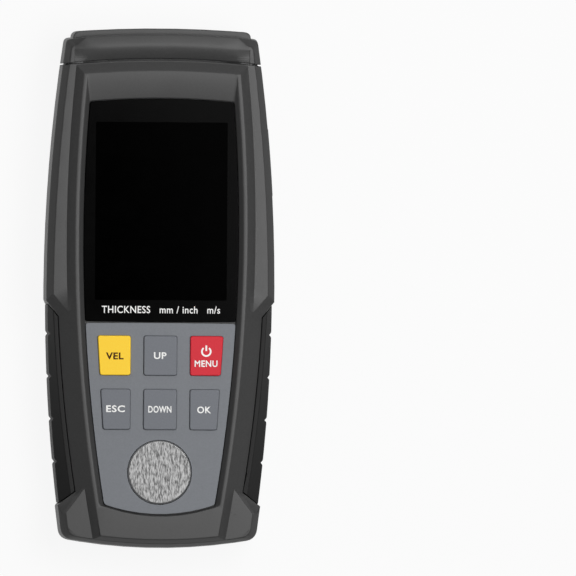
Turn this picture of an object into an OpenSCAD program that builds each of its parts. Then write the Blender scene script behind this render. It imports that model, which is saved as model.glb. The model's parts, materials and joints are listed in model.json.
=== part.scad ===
// Handheld ultrasonic thickness gauge, lying on its back.
// X runs across the width, Y along the length with the socket end at +Y, Z up out of the display face.
// The two moulded halves, the end cap and the grips are all cut from one barrel-shaped skin.

/* [Body] */
// length over everything
body_len = 178; // [170:0.5:190]
// width at the widest place
body_w = 79.2; // [78:0.1:84]
// height of the shoulders beside the display field above the back
shoulder_z = 31.9; // [31:0.1:35]
// height of the seam between the two halves
part_z = 17; // [16.4:0.1:18]
// radius of the long side curves, seen from the front
side_r = 600; // [500:10:900]
// where along the length the body is widest
widest_y = -2; // [-8:0.5:4]
// radius of the lower end, seen from the front
foot_r = 180; // [150:5:260]
// radius of the socket end, seen from the front
head_r = 380; // [300:10:600]
// rounding of the two lower corners
foot_corner = 3; // [3:0.5:7]
// rounding of the two upper corners
head_corner = 1.5; // [1.5:0.5:4]
// wall of the moulded halves
wall = 2.4; // [1.8:0.1:2.6]
// draft of the front half's side walls
side_draft = 0.45; // [0.2:0.05:0.8]
// width of the chamfer outside the shoulders
shoulder_chamfer_w = 2.3; // [2:0.05:3]
// height of the chamfer outside the shoulders
shoulder_chamfer_h = 2.7; // [2.2:0.1:3.6]
// share of the edge widths that the lower end takes
foot_share = 0.5; // [0.4:0.05:0.7]
// width of the chamfer round the back
back_chamfer_w = 2.7; // [2:0.1:3.5]
// height of the chamfer round the back
back_chamfer_h = 3.2; // [2:0.1:4]

/* [Front relief] */
// full width of the rim round display and keypad
rim_w = 59.2; // [58:0.1:60.5]
// radius of the rim's sides, seen from the front
rim_r = 565; // [500:5:700]
// where along the length the rim is widest
rim_y = 18; // [12:0.5:24]
// rise from the shoulders to the rim
rim_rise = 2.1; // [1.6:0.1:2.6]
// width of the slope between shoulders and rim
slope_w = 2.8; // [2.4:0.05:3.2]
// width of the rim's flat top
rim_flat = 1.35; // [0.8:0.05:1.8]
// width of the wall from rim to lens
inner_w = 1.75; // [1:0.05:2]
// depth from the rim to the lens
lens_drop = 1.6; // [1:0.1:2]
// where the plate below the cap turns down to the lens
brow_y = 71.2; // [69:0.1:72.5]
// length of the plate below the cap
plate_len = 3; // [2:0.1:3.2]
// fall of the plate below the cap towards the lens
plate_fall = 0.35; // [0.1:0.05:0.6]
// width of the bevel across the lower end
foot_bevel_w = 2.8; // [2.4:0.1:2.8]
// height of the bevel across the lower end
foot_bevel_h = 4.5; // [3:0.1:6]

/* [Cap] */
// distance from the end of the body to the cap's seam, on the centre line
cap_len = 10.6; // [9:0.1:12]
// radius of the seam, seen from the front
seam_r = 310; // [250:5:500]
// width of the seam groove
seam_gap = 0.5; // [0.3:0.05:0.8]
// depth of the seam groove
seam_depth = 1.1; // [0.8:0.1:1.3]
// gap between the cap and the halves behind the groove
core_fit = 0.05; // [0.05:0.01:0.1]
// depth of the hollow in the cap's face
dish_depth = 0.5; // [0.3:0.05:0.8]
// length of the hollow in the cap's face
dish_len = 4.9; // [4:0.1:5.2]
// half width of the hollow in the cap's face
dish_half = 30; // [27:0.1:30.5]
// wall of the cap
cap_wall = 3.4; // [3:0.1:4]
// how far the cap's tongues go into the halves
tongue_len = 3.5; // [2:0.1:4]
// half width of the socket boss
boss_half = 30.5; // [26:0.5:32]
// how far the socket boss stands out
boss_out = 2; // [1:0.1:3]
// lower face of the socket boss
boss_z0 = 7; // [5:0.5:9]
// upper face of the socket boss
boss_z1 = 28.5; // [26:0.5:29]

/* [Display] */
// highest point of the lens edge
lens_top = 65; // [62:0.1:66]
// radius of the lens top edge
lens_top_r = 250; // [180:5:400]
// lower edge of the lens
lens_bottom = -11.6; // [-11.8:0.1:-10]
// thickness of the lens
lens_t = 1.6; // [1.2:0.1:2]
// thickness of the sealing tape under the lens
tape_t = 0.25; // [0.1:0.05:0.4]
// width of the sealing tape
tape_w = 2.4; // [1.5:0.1:2.6]
// gap round the lens and the keypad panel
lens_fit = 0.2; // [0.1:0.05:0.3]
// thickness of the shelf under lens and panel
shelf_t = 2.2; // [1.8:0.1:2.6]
// width of the picture area
screen_w = 45.2; // [40:0.2:46]
// height of the picture area
screen_h = 61; // [54:0.5:62]
// centre of the picture area along the length
screen_y = 26.3; // [24:0.1:28]
// thickness of the display module
lcd_t = 3.15; // [2.6:0.05:3.8]
// border of the display module round the picture
lcd_border = 1.5; // [1:0.1:1.8]

/* [Keypad] */
// upper edge of the keypad panel
panel_top = -11.9; // [-13:0.1:-11.9]
// lowest point of the panel edge
panel_bottom = -77.4; // [-78.5:0.1:-76]
// radius of the panel's lower edge
panel_foot_r = 57; // [45:1:90]
// height of the panel face above the lens face
panel_step = 0.2; // [0:0.05:0.5]
// top of the first key row
row1_top = -16.4; // [-17:0.1:-15]
// length of the first row's keys
row1_len = 13.4; // [12:0.1:14]
// top of the second key row
row2_top = -34.7; // [-36:0.1:-33.5]
// length of the second row's keys
row2_len = 13.7; // [12:0.1:14]
// half width of the middle keys
mid_key_half = 5.6; // [4.5:0.1:6]
// inner edge of the outer keys
outer_key_x = 10.3; // [9.6:0.1:11]
// width of the outer keys at the first row's top
outer_key_w = 11.2; // [9.5:0.1:11.4]
// how far the outer key edges lean in per mm of length
outer_key_lean = 0.064; // [0:0.002:0.08]
// rounding of the key corners
key_corner = 0.9; // [0.5:0.1:2]
// height of the keys above the panel
key_proud = 1; // [0.6:0.1:1.4]
// gap round each key
key_fit = 0.15; // [0.1:0.05:0.4]
// width of the retaining flange round each key
key_flange = 0.8; // [0.6:0.05:1]
// thickness of the retaining flange
key_flange_t = 0.95; // [0.7:0.05:1]
// gap above and below the key flange
key_play = 0.05; // [0.03:0.01:0.1]
// thickness of the silicone mat
mat_t = 0.7; // [0.5:0.05:0.8]
// how far the mat reaches past the keys
mat_over = 2.9; // [2.4:0.1:3.2]
// radius of each silicone dome
dome_r = 3.2; // [2.6:0.1:3.6]

/* [Test block] */
// diameter of the steel test block
disc_d = 21.9; // [19:0.1:23]
// centre of the test block along the length
disc_y = -63.1; // [-63.8:0.1:-62.5]
// thickness of the test block
disc_t = 4; // [3.6:0.1:4.4]
// height of the test block above the panel
disc_proud = 0.6; // [0.3:0.1:0.8]
// chamfer round the test block
disc_chamfer = 0.45; // [0.2:0.05:0.8]
// gap round the test block
disc_fit = 0.15; // [0.1:0.05:0.4]

/* [Grips] */
// distance from the rim edge to the grip
grip_band = 6; // [5.6:0.1:6.4]
// distance from the rim edge to where the slope beside the grips starts
crest_in = 0.8; // [0.5:0.1:1.2]
// upper inner corner of the grip
grip_top = -9.8; // [-12:0.1:-8]
// lower inner corner of the grip
grip_bottom = -69.9; // [-71:0.1:-67]
// depth of the grip's upper edge below the line of the rim's slope
grip_sink = 0.25; // [0.2:0.05:0.6]
// lower face of the grips
grip_z0 = 1.5; // [1.5:0.5:7]
// how far the grips stay inside the body's side line
grip_inset = 1.1; // [0.6:0.1:1.5]
// least thickness of the grip at its widest place
grip_least = 2.7; // [2:0.1:2.8]
// gap between grip and housing
grip_fit = 0.15; // [0.1:0.05:0.3]
// spacing of the grip notches
notch_pitch = 14.6; // [12:0.1:15]
// depth of the grip notches
notch_depth = 0.7; // [0.4:0.1:1]
// width of the grip notches
notch_w = 1.6; // [1:0.1:2.4]

/* [Sockets] */
// distance of each probe socket from the centre line
socket_x = 11; // [9:0.5:16]
// height of the probe sockets above the back
socket_z = 19; // [17:0.5:21]
// bore of the probe sockets
socket_bore = 5.1; // [4.8:0.1:5.4]
// depth of the bore below the flange seat
socket_depth = 6; // [5:0.1:6.5]
// barrel diameter of the probe sockets
socket_barrel = 6.9; // [6.7:0.1:7.3]
// flange diameter of the probe sockets
socket_flange = 10; // [9:0.1:10.6]
// flange thickness of the probe sockets
socket_flange_t = 1.2; // [0.8:0.1:1.4]
// size across the flats of the socket nuts
nut_flats = 9; // [8.6:0.1:10]
// thickness of the socket nuts
nut_t = 2; // [1.5:0.1:2.5]
// length of the socket barrels behind the flange
barrel_len = 11; // [10.6:0.1:11.4]
// depth of the flange seats in the end boss
flange_seat = 0.4; // [0.2:0.1:0.6]
// diameter of the contact pins
pin_d = 1; // [0.8:0.05:1.1]
// length of the contact pins behind the flange seat
pin_len = 14.5; // [13.5:0.1:15]
// clearance of the barrels in the cap and the nuts
barrel_fit = 0.15; // [0.1:0.05:0.25]
// lower end of the charging port cover
port_y0 = 31.8; // [30:0.1:34]
// length of the charging port cover
port_len = 23.3; // [20:0.1:25]
// lower edge of the charging port cover
port_z0 = 18.2; // [18.1:0.1:19]
// height of the charging port cover
port_h = 8; // [7:0.1:9]
// thickness of the charging port cover
port_t = 1.6; // [1.2:0.1:1.8]
// depth of the charging port cover below the side wall
port_sink = 0.2; // [0.1:0.05:0.3]
// gap round the charging port cover
port_fit = 0.15; // [0.1:0.05:0.25]
// gap at the free end of the charging port cover, for its swing
port_swing = 0.4; // [0.3:0.05:0.6]

/* [Inside] */
// half width of the circuit board
board_half = 24.5; // [23.6:0.1:25]
// upper end of the circuit board
board_top = 70.2; // [69.5:0.1:71]
// lower end of the circuit board
board_bottom = -58.5; // [-59.5:0.1:-57.8]
// thickness of the circuit board
board_t = 1.6; // [1:0.1:2]
// half width of the battery pack
pack_half = 20; // [17:0.5:20]
// length of the battery pack
pack_len = 60; // [50:1:60]
// height of the battery pack
pack_h = 11.4; // [9:0.1:11.6]
// gap round the battery pack
pack_fit = 0.4; // [0.3:0.05:0.8]
// width of the battery connector
connector_w = 14; // [12:0.5:15]
// thickness of the battery connector
connector_t = 5; // [4:0.1:5.5]
// distance of the battery connector from the upper end of the pack
connector_in = 7.5; // [7:0.1:8]
// free length of the connector's spring pins
spring_len = 3; // [2:0.1:3.5]
// thickness of the seal between the halves
seal_t = 0.7; // [0.5:0.05:0.9]
// diameter of the seal's eyelets round the lower screws
seal_eye = 4.8; // [4.4:0.1:5.2]
// thickness of the battery cover
cover_t = 2.2; // [1.8:0.1:2.4]
// gap round the battery cover
cover_fit = 0.2; // [0.15:0.05:0.35]

/* [Fasteners] */
// clearance of the screws in their holes
screw_fit = 0.1; // [0.1:0.05:0.2]
// shank diameter of the housing screws
screw_d = 2.5; // [2.2:0.1:2.6]
// head diameter of the housing screws
screw_head_d = 5.6; // [5:0.1:5.8]
// head height of the housing screws
screw_head_h = 2.4; // [2:0.1:2.4]
// height of the housing screws' outer face above the back
screw_seat = 7.6; // [7:0.1:7.6]
// reach of the housing screws into the front half
screw_reach = 7; // [5:0.1:7.5]
// diameter of the screw posts of the front half
post_d = 7; // [6:0.1:7.4]
// diameter of the screw posts of the rear half
rear_post_d = 8.4; // [8:0.1:8.4]
// distance of the upper screws from the centre line
post_head_x = 29; // [28.9:0.1:29.4]
// distance of the upper screws from the end
post_head_in = 21; // [20.8:0.1:22]
// distance of the lower screws from the centre line
post_foot_x = 25; // [22:0.1:25]
// distance of the lower screws from the end
post_foot_in = 10; // [9.6:0.1:11]
// width of the driver slots
slot_w = 0.7; // [0.5:0.05:0.9]
// depth of the driver slots
slot_depth = 1.2; // [0.8:0.1:1.4]
// shank diameter of the board screws
board_screw_d = 1.9; // [1.6:0.1:2]
// head diameter of the board screws
board_screw_head_d = 4; // [3.4:0.1:4.4]
// head height of the board screws
board_screw_head_h = 1.3; // [1:0.1:1.5]
// reach of the board screws into the pillars
board_screw_reach = 4; // [3:0.1:4]
// distance of the board pillars from the centre line
pillar_x = 20; // [19:0.1:21]
// distance of the upper pillars from the board's upper end
pillar_in = 4; // [3.4:0.1:4.5]
// distance of the lower pillars from the board's lower end
pillar_up = 3.7; // [3.4:0.1:4.2]
// shank diameter of the cover screws
cover_screw_d = 2.1; // [1.8:0.1:2.2]
// head diameter of the cover screws
cover_screw_head_d = 4.2; // [3.8:0.1:4.3]
// length of the cover screws below the head
cover_screw_len = 7.5; // [6:0.1:8]

/* [Hidden] */
$fn = 64;
// big arcs get more segments
fine = 720;
half_len = body_len / 2;
head_y = half_len - boss_out;
foot_y = -half_len;
seam_y = half_len - cap_len;
seam_c = seam_y - seam_r;
rim_z = shoulder_z + rim_rise;
lens_z = rim_z - lens_drop;
panel_z = lens_z + panel_step;
shelf_z = lens_z - lens_t - tape_t;
under_z = shelf_z - shelf_t;
key_z = panel_z + key_proud;
flange_top = under_z - key_play;
flange_bot = flange_top - key_flange_t;
board_z = under_z - lcd_t;
board_low = board_z - board_t;
grip_z1 = slope_z(grip_band) - grip_sink;
lens_off = rim_flat + inner_w;
disc_z = panel_z + disc_proud - disc_t;
pack_y = -5;
pack_top = cover_t + pack_h;
tub_z = pack_top + pack_fit;
cover_half = pack_half + 3;
cover_y0 = pack_y - pack_len / 2 - 11;
cover_y1 = pack_y + pack_len / 2 + 8;
post_head = [post_head_x, half_len - post_head_in];
post_foot = [post_foot_x, -half_len + post_foot_in];
pillar_top = board_top - pillar_in;
pillar_low = board_bottom + pillar_up;
board_posts = [[pillar_x, pillar_top], [-pillar_x, pillar_top], [pillar_x, pillar_low], [-pillar_x, pillar_low]];
socket_y = head_y - flange_seat;
cover_screws = [[0, cover_y0 + 4], [0, cover_y1 - 3.6]];
port_mid = port_y0 + port_len / 2;
usb_h = 2.8;
usb_z = board_low - usb_h / 2;
usb_mouth = side_x(port_mid) - port_sink - port_t - 1.4;

// height of an arc of radius r above its chord's end, at x from the middle
function sag(x, r) = r - sqrt(r * r - x * x);

// half width of the body at y
function side_x(y) = body_w / 2 - sag(y - widest_y, side_r);

// distance of the rim's outer edge from the centre line at y
function rim_x(y) = rim_w / 2 - sag(y - rim_y, rim_r);

// height of the rim's outer slope at off outside the rim edge
function slope_z(off) = rim_z - off * rim_rise / slope_w;

// a line off outside the rim edge, kept far enough inside the body's side for the grip
function grip_x(y, off) = min(rim_x(y), side_x(y) - grip_inset - grip_least - grip_band) + off;

// n + 1 values from a to b
function steps(a, b, n) = [for (k = [0:n]) a + (b - a) * k / n];

// points of a rounded corner p1 between p0 and p2
function bend(p0, p1, p2, n) = [
  for (t = steps(0, 1, n)) p0 * (1 - t) * (1 - t) + p1 * 2 * t * (1 - t) + p2 * t * t
];

// mirror image of a chain of points
function other(chain) = [for (p = chain) [-p.x, p.y]];

// corners of a closed outline, each rounded over the length r
function rounded(pts, r) = let (n = len(pts)) [
  for (i = [0:n - 1])
    let (p = pts[i], a = pts[(i + n - 1) % n] - p, b = pts[(i + 1) % n] - p)
      each bend(p + a / norm(a) * r, p, p + b / norm(b) * r, 4)
];

// right half of the body outline, set in by i, with the shoulders opening out by the cap where wide is 1
function skin(i, wide = 0) =
  let (
    open = function (y) wide * 0.6 * max(0, y - 50) / 36,
    side = function (y) side_x(y) - i + open(y),
    ht = head_y - i,
    xt = side(ht - 1.4),
    yt = ht - sag(xt, head_r),
    fb = foot_y + i * foot_share,
    xb = side(fb + 3.1),
    yb = fb + sag(xb, foot_r),
    c = head_corner,
    d = foot_corner
  )
  concat(
    [for (k = [1, 3, 5]) let (x = (xt - c) * k / 6) [x, ht - sag(x, head_r)]],
    bend([xt - c, ht - sag(xt - c, head_r)], [xt, yt], [side(yt - c), yt - c], 4),
    [for (k = [1:15]) let (y = yt - c + (yb + d - yt + c) * k / 16) [side(y), y]],
    bend([side(yb + d), yb + d], [xb, yb], [xb - d, fb + sag(xb - d, foot_r)], 5),
    [for (k = [7, 5, 3, 1]) let (x = (xb - d) * k / 8) [x, fb + sag(x, foot_r)]]
  );

// right half of a barrel outline off inside the rim edge, from an arc at top to an arc at bottom
function barrel(off, top, top_r, bottom, bottom_r, c = 0.8) =
  let (
    x = function (y) rim_x(y) - off,
    yt = top - sag(x(top), top_r),
    yb = bottom + sag(x(bottom + 3), bottom_r),
    xt = x(yt),
    xb = x(yb)
  )
  concat(
    [for (k = [1, 3, 5, 7]) let (u = (xt - c) * k / 8) [u, top - sag(u, top_r)]],
    bend([xt - c, top - sag(xt - c, top_r)], [xt, yt], [x(yt - c), yt - c], 3),
    [for (k = [1:13]) let (y = yt - c + (yb + c - yt + c) * k / 14) [x(y), y]],
    bend([x(yb + c), yb + c], [xb, yb], [xb - c, bottom + sag(xb - c, bottom_r)], 3),
    [for (k = [7, 5, 3, 1]) let (u = (xb - c) * k / 8) [u, bottom + sag(u, bottom_r)]]
  );

// right half of the room inside the halves, grown by g
function room(g) =
  let (
    top = seam_y + 4,
    low = foot_y + wall + 2.2 - g,
    x = function (y) let (
      wide = side_x(y) - wall - side_draft + g,
      slim = grip_x(y, grip_band - 2 + g),
      t = min(1, max(0, (y + 3) / 7))
    ) min(wide, slim + (wide - slim) * t)
  )
  concat(
    [for (k = [1, 3]) let (u = x(top) * k / 4) [u, top - sag(u, seam_r)]],
    [let (u = x(top)) [u, top - sag(u, seam_r)]],
    [for (y = steps(top - 8, 4, 5)) [x(y), y]],
    [for (y = steps(-3, low + 9, 6)) [x(y), y]],
    [for (k = [4, 2]) let (u = x(low + 9) * k / 5) [u, low + sag(u, foot_r)]]
  );

// inner line of the grip recess, at off from the rim edge, with sloped ends
function grip_line(off, top, bottom, rise_top, rise_bottom) =
  let (x = function (y) grip_x(y, off))
  concat(
    [[x(top) + 14, top + 14 * rise_top]],
    [for (y = steps(top, bottom, 9)) [x(y), y]],
    [[x(bottom) + 14, bottom - 14 * rise_bottom]]
  );

// outline of one key: column -1, 0 or 1, row 1 or 2, grown by g
function key_outline(col, row, g) =
  let (
    top = row == 1 ? row1_top : row2_top,
    low = top - (row == 1 ? row1_len : row2_len),
    edge = function (y) outer_key_x + outer_key_w - outer_key_lean * (row1_top - y),
    s = col == 0 ? 1 : col,
    x0 = col == 0 ? -mid_key_half - g : outer_key_x - g,
    x1 = col == 0 ? mid_key_half + g : edge(top) + g,
    x2 = col == 0 ? mid_key_half + g : edge(low) + g
  )
  rounded([[s * x0, top + g], [s * x1, top + g], [s * x2, low - g], [s * x0, low - g]], key_corner);

// solid through sections [z, right chain, left chain], all chains with the same number of points
module loft(sections) {
  n = len(sections[0][1]);
  m = len(sections) - 1;
  at = function (s, k) s * 2 * n + k;
  quad = function (a, b, c, d) [[a, b, c], [a, c, d]];
  points = [for (s = sections) each [for (chain = [s[1], s[2]]) each [for (p = chain) [p.x, p.y, s[0]]]]];
  right = [for (s = [0:m - 1]) for (k = [0:n - 2]) each quad(at(s, k), at(s, k + 1), at(s + 1, k + 1), at(s + 1, k))];
  left = [
    for (s = [0:m - 1]) for (k = [n:2 * n - 2]) each quad(at(s, k), at(s + 1, k), at(s + 1, k + 1), at(s, k + 1))
  ];
  head = [for (s = [0:m - 1]) each quad(at(s, 0), at(s + 1, 0), at(s + 1, n), at(s, n))];
  foot = [
    for (s = [0:m - 1]) each quad(at(s, n - 1), at(s, 2 * n - 1), at(s + 1, 2 * n - 1), at(s + 1, n - 1))
  ];
  low = [for (k = [0:n - 2]) each quad(at(0, k), at(0, n + k), at(0, n + k + 1), at(0, k + 1))];
  high = [for (k = [0:n - 2]) each quad(at(m, k), at(m, k + 1), at(m, n + k + 1), at(m, n + k))];
  polyhedron(points = points, faces = concat(right, left, head, foot, low, high));
}

// loft that is the same on both sides of the centre line
module twin_loft(sections) {
  loft([for (s = sections) [s[0], s[1], other(s[1])]]);
}

// straight-sided plate from the right half of its outline
module plate(chain, z0, z1) {
  translate([0, 0, z0])
    linear_extrude(z1 - z0)
      polygon(concat(chain, [for (k = [len(chain) - 1:-1:0]) [-chain[k].x, chain[k].y]]));
}

// the whole outside, before it is split into halves and cap
module body_skin() {
  over = rim_rise + 0.3;
  lift = shoulder_chamfer_w * (shoulder_chamfer_h + over) / shoulder_chamfer_h;
  twin_loft([
    [0, skin(0.9 + back_chamfer_w)],
    [back_chamfer_h, skin(0.9)],
    [part_z, skin(0)],
    [shoulder_z - shoulder_chamfer_h, skin(side_draft)],
    [shoulder_z + over, skin(side_draft + lift, 1)]
  ]);
}

// everything below the seam, as an exact cylinder, with gap g
module below_seam(g, z0, z1) {
  translate([0, seam_c, z0])
    cylinder(r = seam_r - g, h = z1 - z0, $fn = fine);
}

// ring of the cap behind the seam groove, close to the ends of the two halves
module seam_core() {
  i = seam_depth;
  intersection() {
    difference() {
      twin_loft([
        [i, skin(0.9 + back_chamfer_w + i)],
        [back_chamfer_h + i / 2, skin(0.9 + i)],
        [part_z, skin(i)],
        [shoulder_z - shoulder_chamfer_h - i / 2, skin(side_draft + i)],
        [shoulder_z - i, skin(side_draft + shoulder_chamfer_w + i / 2)]
      ]);
      plate(room(0), wall, under_z);
    }
    difference() {
      below_seam(-1, 0, shoulder_z);
      below_seam(seam_gap / 2 - core_fit, -1, shoulder_z + 1);
    }
  }
}

// the raised field round display and keypad with its outer slopes, running on past the lower end
module field() {
  under = 0.3;
  more = slope_w * under / rim_rise;
  far = foot_y - 8;
  top = seam_y - 0.7;
  twin_loft([
    [shoulder_z - under, field_line(slope_w + more, top + more, far)],
    [shoulder_z, field_line(slope_w, top, far)],
    [rim_z, field_line(0, top - slope_w - 0.3, far)]
  ]);
}

// right half of the field's outline, off outside the rim edge
function field_line(off, top, bottom) =
  let (x = function (y) rim_x(y) + off, yt = top - sag(x(top), seam_r))
  concat(
    [for (k = [1, 3, 5, 7]) let (u = x(yt) * k / 8) [u, top - sag(u, seam_r)]],
    [for (y = steps(yt, bottom, 16)) [x(y), y]]
  );

// the recess for lens and panel, with its sloped side walls and the ramp under the cap
module face_recess() {
  over = 0.3;
  lean = inner_w / lens_drop * over;
  low = panel_bottom - lens_fit - 0.15;
  top = lens_top + lens_fit;
  share = 1 - plate_fall / lens_drop;
  brow_off = lens_off - lens_fit + (rim_flat - lens_off + lens_fit) * share;
  brow_end = brow_y + plate_len;
  brow_rise = over * plate_len / plate_fall;
  twin_loft([
    [shelf_z, barrel(lens_off - lens_fit, top, lens_top_r, low, panel_foot_r)],
    [lens_z, barrel(lens_off - lens_fit, top, lens_top_r, low, panel_foot_r)],
    [rim_z - plate_fall, barrel(brow_off, brow_y, head_r, low - 0.45 * share, panel_foot_r)],
    [rim_z, barrel(rim_flat, brow_end, head_r, low - 0.45, panel_foot_r)],
    [rim_z + over, barrel(rim_flat - lean, brow_end + brow_rise, head_r, low - 0.53, panel_foot_r)]
  ]);
}

// bevel across the lower end of the field
module foot_bevel() {
  r = foot_r;
  half = rim_x(foot_y) + slope_w + 0.5;
  inner = r - 1.3 * foot_bevel_w;
  intersection() {
    translate([0, foot_y + r, 0])
      rotate([0, 0, -110])
        rotate_extrude(angle = 40, $fn = fine)
          polygon([
            [inner, rim_z + 0.3 * foot_bevel_h],
            [r + 8, rim_z - foot_bevel_h * (foot_bevel_w + 8) / foot_bevel_w],
            [r + 8, rim_z + foot_bevel_h],
            [inner, rim_z + foot_bevel_h]
          ]);
    translate([-half, foot_y - 10, shoulder_z])
      cube([2 * half, 30, rim_rise + 5]);
  }
}

// recess of the right grip, grown by g: a pocket with the run-on of the rim's slope above it
module grip_recess(g) {
  tilt = (slope_z(crest_in) - grip_z1) / (grip_band - crest_in);
  line = function (z)
    let (up = z - grip_z1, t = up / (shoulder_z - grip_z1))
    grip_line(
      grip_band - g - up / tilt,
      grip_top + g + 1.4 * t,
      grip_bottom - g + 1.3 * t,
      1.25 - 0.08 * t,
      0.76 + 0.57 * t
    );
  section = function (z, chain) [z, [for (p = chain) [body_w, p.y]], chain];
  loft([
    section(grip_z0, line(grip_z1)),
    section(grip_z1, line(grip_z1)),
    section(shoulder_z, line(shoulder_z)),
    section(rim_z - 0.2, line(rim_z - 0.2))
  ]);
}

// the right grip's own outer form, before its ends are cut
module grip_form() {
  ys = steps(grip_top + 16, grip_bottom - 14, 12);
  edge = function (inset) [for (y = ys) [side_x(y) - grip_inset - inset, y]];
  crest = [for (y = ys) [grip_x(y, grip_band + 1.7), y]];
  inner = [for (y = ys) [grip_x(y, 1), y]];
  loft([
    [grip_z0, edge(2.4), inner],
    [grip_z0 + 4, edge(0), inner],
    [part_z, edge(-0.1), inner],
    [grip_z1 - 4.6, edge(0), inner],
    [grip_z1 - 0.3, crest, inner]
  ]);
}

// V-shaped notch across the grip's side at y
module notch(y) {
  x = side_x(y) - grip_inset;
  out = 1;
  half = notch_w / 2 * (1 + out / notch_depth);
  linear_extrude(shoulder_z)
    polygon([[x - notch_depth, y], [x + out, y - half], [x + out, y + half]]);
}

// right grip: its form cut to the recess, with the notches across its side
module grip() {
  mid = (grip_top + grip_bottom) / 2 + 2.2;
  intersection() {
    difference() {
      grip_form();
      for (k = [-1.5:1:1.5])
        notch(mid + k * notch_pitch);
    }
    grip_recess(-grip_fit);
  }
}

// posts for the housing screws
module posts(z0, z1, d, at = [post_head, post_foot]) {
  for (p = at)
    for (s = [-1, 1])
      translate([s * p.x, p.y, z0])
        cylinder(d = d, h = z1 - z0);
}

// stand-offs that carry the circuit board
module board_pillars(z0, z1, d) {
  for (p = board_posts)
    translate([p.x, p.y, z0])
      cylinder(d = d, h = z1 - z0);
}

// prism of one key outline
module key_prism(col, row, g, z0, z1) {
  translate([0, 0, z0])
    linear_extrude(z1 - z0)
      polygon(key_outline(col, row, g));
}

module all_key_prisms(g, z0, z1) {
  for (row = [1, 2])
    for (col = [-1, 0, 1])
      key_prism(col, row, g, z0, z1);
}

// layer of the right side wall between two depths, over the charging port, with gaps g0 and g1 at its ends
module port_layer(d0, d1, g0, g1, z0, z1) {
  y0 = port_y0 + g0;
  y1 = port_y0 + port_len - g1;
  outer = [for (y = steps(y1, y0, 4)) [side_x(y) - d0, y]];
  inner = [for (y = steps(y1, y0, 4)) [side_x(y) - d1, y]];
  loft([[z0, outer, inner], [z1, outer, inner]]);
}

module front_housing() {
  color("dimgray")
    difference() {
      union() {
        difference() {
          intersection() {
            body_skin();
            union() {
              below_seam(seam_gap / 2, part_z, shoulder_z);
              field();
            }
          }
          plate(room(0), part_z - 1, under_z);
        }
        intersection() {
          plate(room(0.5), part_z, under_z + 0.5);
          union() {
            posts(part_z, under_z + 0.5, post_d);
            board_pillars(board_z, under_z + 0.5, 5.5);
            translate([0, disc_y, under_z - 2])
              cylinder(d = disc_d + 5, h = 2.5);
            translate([side_x(port_mid) - 4.6, port_y0 - 2, part_z])
              cube([10, port_len + 4, 11]);
          }
        }
      }
      face_recess();
      foot_bevel();
      grip_recess(0);
      mirror([1, 0, 0])
        grip_recess(0);
      translate([-screen_w / 2 - 0.6, screen_y - screen_h / 2 - 0.6, under_z - 1])
        cube([screen_w + 1.2, screen_h + 1.2, 10]);
      all_key_prisms(key_fit, under_z - 1, lens_z + 2);
      translate([0, disc_y, disc_z])
        cylinder(d = disc_d + 2 * disc_fit, h = 10);
      port_layer(-3, port_sink + port_t + 0.1, 0, 0, port_z0, port_z0 + port_h);
      translate([usb_mouth - 4, port_mid - 4.4, usb_z - 2])
        cube([12, 8.8, 4]);
      posts(part_z - 1, part_z + screw_reach + 1, screw_d + 2 * screw_fit);
      board_pillars(board_z - 1, board_z + board_screw_reach + 0.2, board_screw_d + 2 * screw_fit);
    }
}

module rear_housing() {
  tub_half = pack_half + pack_fit;
  tub_y0 = pack_y - pack_len / 2 - pack_fit;
  tub_len = pack_len + 2 * pack_fit;
  color("dimgray")
    difference() {
      union() {
        difference() {
          intersection() {
            body_skin();
            below_seam(seam_gap / 2, -1, part_z);
          }
          plate(room(0), wall, part_z + 1);
        }
        intersection() {
          plate(room(0.5), wall - 0.5, part_z);
          union() {
            posts(wall - 0.5, part_z, rear_post_d);
            translate([-cover_half - 2, cover_y0 - 2, wall - 0.5])
              cube([2 * cover_half + 4, cover_y1 - cover_y0 + 4, cover_t + 2.5 - wall]);
            translate([-tub_half - 1.8, tub_y0 - 1.8, wall - 0.5])
              cube([2 * tub_half + 3.6, tub_len + 3.6, tub_z + 2.1 - wall]);
            for (p = cover_screws)
              translate([p.x, p.y, wall - 0.5])
                cylinder(d = 6, h = 10);
          }
        }
      }
      grip_recess(0);
      mirror([1, 0, 0])
        grip_recess(0);
      translate([-cover_half, cover_y0, -1])
        cube([2 * cover_half, cover_y1 - cover_y0, cover_t + 1]);
      translate([-tub_half, tub_y0, 0])
        cube([2 * tub_half, tub_len, tub_z]);
      translate([-connector_w / 2 - 1, pack_y + pack_len / 2 - connector_in - connector_t / 2 - 1, tub_z - 1])
        cube([connector_w + 2, connector_t + 2, 6]);
      posts(-1, part_z + 1, screw_d + 0.7);
      posts(-1, screw_seat + screw_head_h, screw_head_d + 0.8);
      for (p = cover_screws)
        translate([p.x, p.y, -1])
          cylinder(d = cover_screw_d + 2 * screw_fit, h = cover_screw_len + 3.5);
      difference() {
        plate(room(1.5), part_z - seal_t, part_z + 1);
        plate(room(0.6), part_z - 2, part_z + 2);
      }
      posts(part_z - seal_t, part_z + 1, seal_eye + 0.2, [post_foot]);
    }
}

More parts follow.
